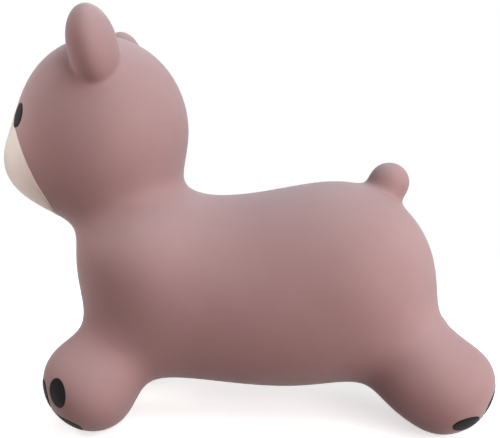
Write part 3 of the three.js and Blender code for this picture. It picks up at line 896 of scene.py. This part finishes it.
def filmTree():
    inputs = [("Stencil", "NodeSocketGeometry"), ("Skin", "NodeSocketObject")]
    inputs += [(label, "NodeSocketVector") for label in ("Middle", "Across", "Along", "Outward")]
    inputs += [(label, "NodeSocketFloat") for label in ("Reach", "Lift", "Thickness")]
    inputs += [("Finish", "NodeSocketMaterial")]
    tree, given, result = groupTree("paintFilm", inputs, ("Film", "NodeSocketGeometry"))
    here = components(tree, addNode(tree, "GeometryNodeInputPosition").outputs[0])
    start = vector(tree, "ADD", given["Middle"], scaled(tree, given["Outward"], given["Reach"]))
    start = vector(tree, "ADD", start, scaled(tree, given["Across"], here["X"]))
    start = vector(tree, "ADD", start, scaled(tree, given["Along"], here["Y"]))
    skin = addNode(tree, "GeometryNodeObjectInfo")
    feed(tree, skin.inputs["Object"], given["Skin"])
    ray = addNode(tree, "GeometryNodeRaycast", data_type="FLOAT_VECTOR")
    feed(tree, ray.inputs["Target Geometry"], skin.outputs["Geometry"])
    feed(tree, ray.inputs["Attribute"], addNode(tree, "GeometryNodeInputNormal").outputs[0])
    feed(tree, ray.inputs["Source Position"], start)
    feed(tree, ray.inputs["Ray Direction"], scaled(tree, given["Outward"], -1.0))
    feed(tree, ray.inputs["Ray Length"], given["Reach"])
    sunk = number(tree, "SUBTRACT", given["Lift"], given["Thickness"])
    upright = vector(tree, "NORMALIZE", ray.outputs["Attribute"])
    underside = vector(tree, "ADD", ray.outputs["Hit Position"], scaled(tree, upright, sunk))
    laid = addNode(tree, "GeometryNodeSetPosition")
    feed(tree, laid.inputs["Geometry"], given["Stencil"])
    feed(tree, laid.inputs["Position"], underside)

    thick = addNode(tree, "GeometryNodeExtrudeMesh", mode="FACES")
    feed(tree, thick.inputs["Mesh"], laid.outputs[0])
    feed(tree, thick.inputs["Offset Scale"], given["Thickness"])
    feed(tree, thick.inputs["Individual"], False)
    under = addNode(tree, "GeometryNodeFlipFaces")
    feed(tree, under.inputs["Mesh"], laid.outputs[0])
    both = addNode(tree, "GeometryNodeJoinGeometry")
    feed(tree, both.inputs[0], thick.outputs["Mesh"])
    feed(tree, both.inputs[0], under.outputs[0])
    closed = addNode(tree, "GeometryNodeMergeByDistance")
    feed(tree, closed.inputs["Geometry"], both.outputs[0])
    feed(tree, closed.inputs["Distance"], paintFilm["merge"])

    onFloor = addNode(tree, "ShaderNodeCombineXYZ")  # no paint reaches under the floor
    feed(tree, onFloor.inputs["X"], here["X"])
    feed(tree, onFloor.inputs["Y"], here["Y"])
    feed(tree, onFloor.inputs["Z"], number(tree, "MAXIMUM", here["Z"], 0.0))
    above = addNode(tree, "GeometryNodeSetPosition")
    feed(tree, above.inputs["Geometry"], closed.outputs[0])
    feed(tree, above.inputs["Position"], onFloor.outputs[0])
    smooth = addNode(tree, "GeometryNodeSetShadeSmooth")
    feed(tree, smooth.inputs["Geometry"], above.outputs[0])
    flatSides = addNode(tree, "GeometryNodeSetShadeSmooth")
    feed(tree, flatSides.inputs["Geometry"], smooth.outputs[0])
    feed(tree, flatSides.inputs["Selection"], thick.outputs["Side"])
    feed(tree, flatSides.inputs["Shade Smooth"], False)
    finishTree(tree, flatSides.outputs[0], given["Finish"], result[0])
    return tree


paintTree = filmTree()
paintTarget = place("paintTarget", wholeSkin, roseMaterial)


def layPaint(node, stencil, middle, turn, material, overlay=0.0):
    film = place(pieceName(node), stencil, material)
    modifier = film.modifiers.new("paintFilm", "NODES")
    modifier.node_group = paintTree
    across, along, outward = (tuple(turn.col[step]) for step in range(3))
    setInputs(modifier, {
        "Skin": paintTarget,
        "Middle": tuple(middle),
        "Across": across,
        "Along": along,
        "Outward": outward,
        "Reach": paintFilm["reach"],
        "Lift": paintFilm["lift"] + overlay,
        "Thickness": paintFilm["thickness"],
        "Finish": material,
    })
    laid = plainMesh(film, pieceName(node))
    film.modifiers.remove(modifier)
    film.data = laid
    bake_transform(film)
    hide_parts(node)


def paintFace():
    forward = Matrix(((0, -1, 0), (0, 0, 1), (-1, 0, 0))).transposed()
    skull = Vector(head["skullMiddle"])

    def faceOval(node, spec, side, material, overlay):
        middle = Vector((skull.x, side * spec.get("side", 0.0), spec["height"]))
        turn = forward @ Matrix.Rotation(math.radians(-side * spec.get("tilt", 0.0)), 3, "Z")
        stencil = ovalStencil(node, spec["size"], spec["mesh"])
        layPaint(node, stencil, middle, turn, material, overlay)

    faceOval("muzzle", facePaint["muzzle"], 0, creamMaterial, 0.0)
    overlay = paintFilm["overlay"]
    for word, side in sides.items():
        faceOval(f"{word}_eye", facePaint["eye"], side, blackMaterial, overlay)
    faceOval("nose", facePaint["nose"], 0, blackMaterial, overlay)
    smile = facePaint["mouth"]
    middle = Vector((skull.x, 0.0, smile["height"]))
    stencil = smileStencil("mouth", smile)
    layPaint("mouth", stencil, middle, forward, blackMaterial, overlay)


def paintPads():
    for end, leg in (("front", frontLeg), ("rear", rearLeg)):
        angles = padPaint[end]
        for word, side in sides.items():
            foot = toSide(side, footMiddle(leg)[0])
            lobe = f"{end}_{word}_leg"
            ways = {pad: toSide(side, heading(leg["way"], *angle)) for pad, angle in angles.items()}
            turn = frameAlong(ways["main"], Vector((0, 0, 1)))
            stencil = ovalStencil(f"{lobe}_main_pad", padPaint["mainSize"], padPaint["mainMesh"])
            layPaint(f"{lobe}_main_pad", stencil, foot, turn, blackMaterial)
            for toe in ("outer", "middle", "inner"):
                turn = frameAlong(ways[toe], ways["heel"])
                stencil = ovalStencil(f"{lobe}_{toe}_toe", padPaint["toeSize"], padPaint["toeMesh"])
                layPaint(f"{lobe}_{toe}_toe", stencil, foot, turn, blackMaterial,
                         paintFilm["overlay"])


paintFace()
paintPads()
bpy.data.objects.remove(paintTarget)
print("paint laid")


# floor, light and white surround
stageSpec = {
    "floorRadius": 1.6,
    "floorSteps": 96,
    "floorDark": (0.86, 0.86, 0.86, 1),
    "floorPale": (0.90, 0.90, 0.90, 1),
    "mottleScale": 30.0,
    "mottleDetail": 4.0,
    "fadeFrom": 0.55,
    "fadeTo": 1.25,
    "bounceDark": (0.16, 0.085, 0.07, 1),  # warm light scattered up from below
    "bouncePale": (0.20, 0.11, 0.09, 1),
    "glow": 0.62,
    "ambient": 0.08,
    "aim": (0.0, 0.0, 0.2),
    "white": (1, 1, 1, 1),
}
lights = {  # a gleam from any but the first two would leave a bright rim on the far side
    "topLight": {
        "place": (0.0, -0.06, 1.9), "size": 1.0, "power": 9.1, "tint": (0.75, 0.93, 1.0), "gleams": True,
    },
    "backLight": {
        "place": (0.0, 1.09, 1.5), "size": 1.0, "power": 4.0, "tint": (0.80, 0.94, 1.0), "gleams": True,
    },
    "highLight": {"place": (0.84, -0.70, 1.5), "size": 1.0, "power": 13.0, "tint": (0.69, 0.94, 1.0)},
    "rightLight": {"place": (1.54, -0.56, 0.64), "size": 1.0, "power": 9.1, "tint": (0.87, 1.0, 1.0)},
    "frontLight": {"place": (0.92, -1.37, 0.60), "size": 1.0, "power": 17.0, "tint": (1.0, 0.89, 0.86)},
    "leftLight": {"place": (-1.55, 0.16, 0.75), "size": 0.8, "power": 5.0, "tint": (1.0, 0.90, 0.86)},
    "faceLight": {"place": (-0.54, -0.11, 0.35), "size": 0.16, "power": 0.57, "tint": (1.0, 0.95, 0.91)},
    "farLight": {"place": (-0.05, 1.7, 0.26), "size": 0.5, "power": 15.0, "tint": (1.0, 0.93, 0.90)},
}


def seenDirectly(tree):  # 1 for the camera and for what shines or is clear, 0 for light that is scattered
    path = addNode(tree, "ShaderNodeLightPath").outputs
    seen = number(tree, "MAXIMUM", path["Is Camera Ray"], path["Is Glossy Ray"])
    return number(tree, "MAXIMUM", seen, path["Is Transmission Ray"])


def mixedShader(tree, share, first, second):
    mix = addNode(tree, "ShaderNodeMixShader")
    feed(tree, mix.inputs["Fac"], share)
    feed(tree, mix.inputs[1], first)
    feed(tree, mix.inputs[2], second)
    return mix.outputs[0]


def floorTone(tree, mottle, dark, pale):
    tones = addNode(tree, "ShaderNodeValToRGB")
    tones.color_ramp.elements[0].color = dark
    tones.color_ramp.elements[1].color = pale
    tree.links.new(mottle, tones.inputs["Fac"])
    diffuse = addNode(tree, "ShaderNodeBsdfDiffuse")
    tree.links.new(tones.outputs["Color"], diffuse.inputs["Color"])
    return diffuse.outputs[0]


def makeFloor(spec):
    net = bmesh.new()
    bmesh.ops.create_circle(net, cap_ends=True, segments=spec["floorSteps"], radius=spec["floorRadius"])
    mesh = bpy.data.meshes.new("floor")
    net.to_mesh(mesh)
    net.free()
    material = bpy.data.materials.new("paleFloor")
    material.use_nodes = True
    tree = material.node_tree
    tree.nodes.clear()
    coordinates = addNode(tree, "ShaderNodeTexCoord").outputs["Object"]
    mottle = noiseOn(tree, coordinates, spec["mottleScale"], spec["mottleDetail"])
    pale = floorTone(tree, mottle, spec["floorDark"], spec["floorPale"])
    warm = floorTone(tree, mottle, spec["bounceDark"], spec["bouncePale"])
    glow = addNode(tree, "ShaderNodeEmission")
    glow.inputs["Color"].default_value = spec["white"]
    glow.inputs["Strength"].default_value = spec["glow"]
    lit = addNode(tree, "ShaderNodeAddShader")
    feed(tree, lit.inputs[0], pale)
    feed(tree, lit.inputs[1], glow.outputs[0])
    surface = mixedShader(tree, seenDirectly(tree), warm, lit.outputs[0])
    away = addNode(tree, "ShaderNodeMapRange", interpolation_type="SMOOTHSTEP")
    away.inputs["From Min"].default_value = spec["fadeFrom"]
    away.inputs["From Max"].default_value = spec["fadeTo"]
    tree.links.new(vector(tree, "LENGTH", coordinates), away.inputs["Value"])
    clear = addNode(tree, "ShaderNodeBsdfTransparent").outputs[0]
    faded = mixedShader(tree, away.outputs["Result"], surface, clear)
    tree.links.new(faded, addNode(tree, "ShaderNodeOutputMaterial").inputs["Surface"])
    floor = place("floor", mesh, material)


def makeLights(aim):
    for name, spec in lights.items():
        data = bpy.data.lights.new(name, "AREA")
        data.shape = "DISK"
        data.size = spec["size"]
        data.energy = spec["power"]
        data.color = spec["tint"]
        light = bpy.data.objects.new(name, data)
        turn = (Vector(spec["place"]) - Vector(aim)).to_track_quat("Z", "Y").to_matrix().to_4x4()
        light.matrix_world = Matrix.Translation(spec["place"]) @ turn
        light.visible_camera = False
        light.visible_glossy = spec.get("gleams", False)
        scene.collection.objects.link(light)


def makeWorld(spec):
    world = bpy.data.worlds.new("whiteSurround")
    scene.world = world
    world.use_nodes = True
    tree = world.node_tree
    tree.nodes.clear()
    ambient = addNode(tree, "ShaderNodeBackground")
    ambient.inputs["Color"].default_value = spec["white"]
    ambient.inputs["Strength"].default_value = spec["ambient"]
    backdrop = addNode(tree, "ShaderNodeBackground")
    backdrop.inputs["Color"].default_value = spec["white"]
    mix = mixedShader(tree, seenDirectly(tree), ambient.outputs[0], backdrop.outputs[0])
    tree.links.new(mix, addNode(tree, "ShaderNodeOutputWorld").inputs["Surface"])


makeFloor(stageSpec)
makeLights(stageSpec["aim"])
makeWorld(stageSpec)
scene.view_settings.view_transform = "Standard"
print("stage lit")
